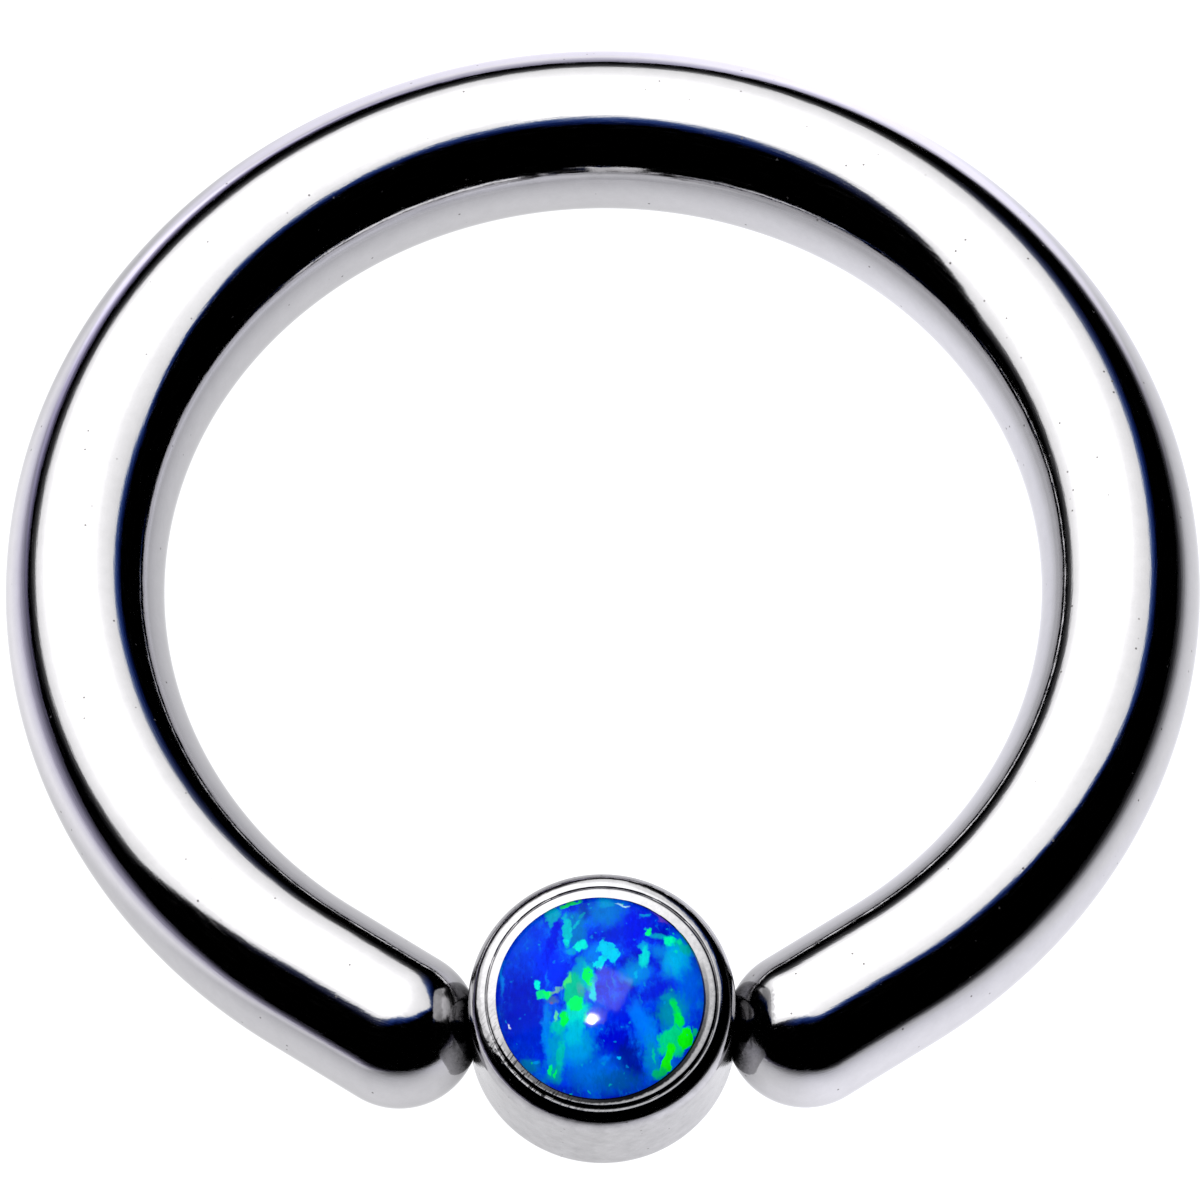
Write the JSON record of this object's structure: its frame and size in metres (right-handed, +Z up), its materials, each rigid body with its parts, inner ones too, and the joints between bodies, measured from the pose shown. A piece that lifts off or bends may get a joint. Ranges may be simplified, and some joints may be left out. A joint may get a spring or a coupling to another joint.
{
  "type": "captive bead ring",
  "caption": "Open ring of thick polished round wire, worn in a piercing, whose round ends clasp a turning drum-shaped bead set with a low-domed blue opal.",
  "frame": {"origin": "on the surface that the ring lies on, below the middle of the whole", "axes": "+X from the ring's left end to its right end, -Y towards the bead, +Z up, square to the ring's circle"},
  "size_m": [0.0224, 0.0232, 0.0042],
  "materials": {
    "ring_steel": "surgical steel, polished to a mirror",
    "bezel_steel": "surgical steel, polished, with a burnished lip",
    "opal": "polished blue opal with green and cyan play of colour"
  },
  "bodies": {
    "ring": {"ring": "ring_steel"},
    "bead": {"bezel": "bezel_steel", "opal": "opal"}
  },
  "joints": [
    {"name": "bead_turn", "type": "hinge", "parent": "ring", "child": "bead", "pos_m": [0, -0.00884, 0.0015], "axis": [1, 0, 0], "continuous": true}
  ]
}
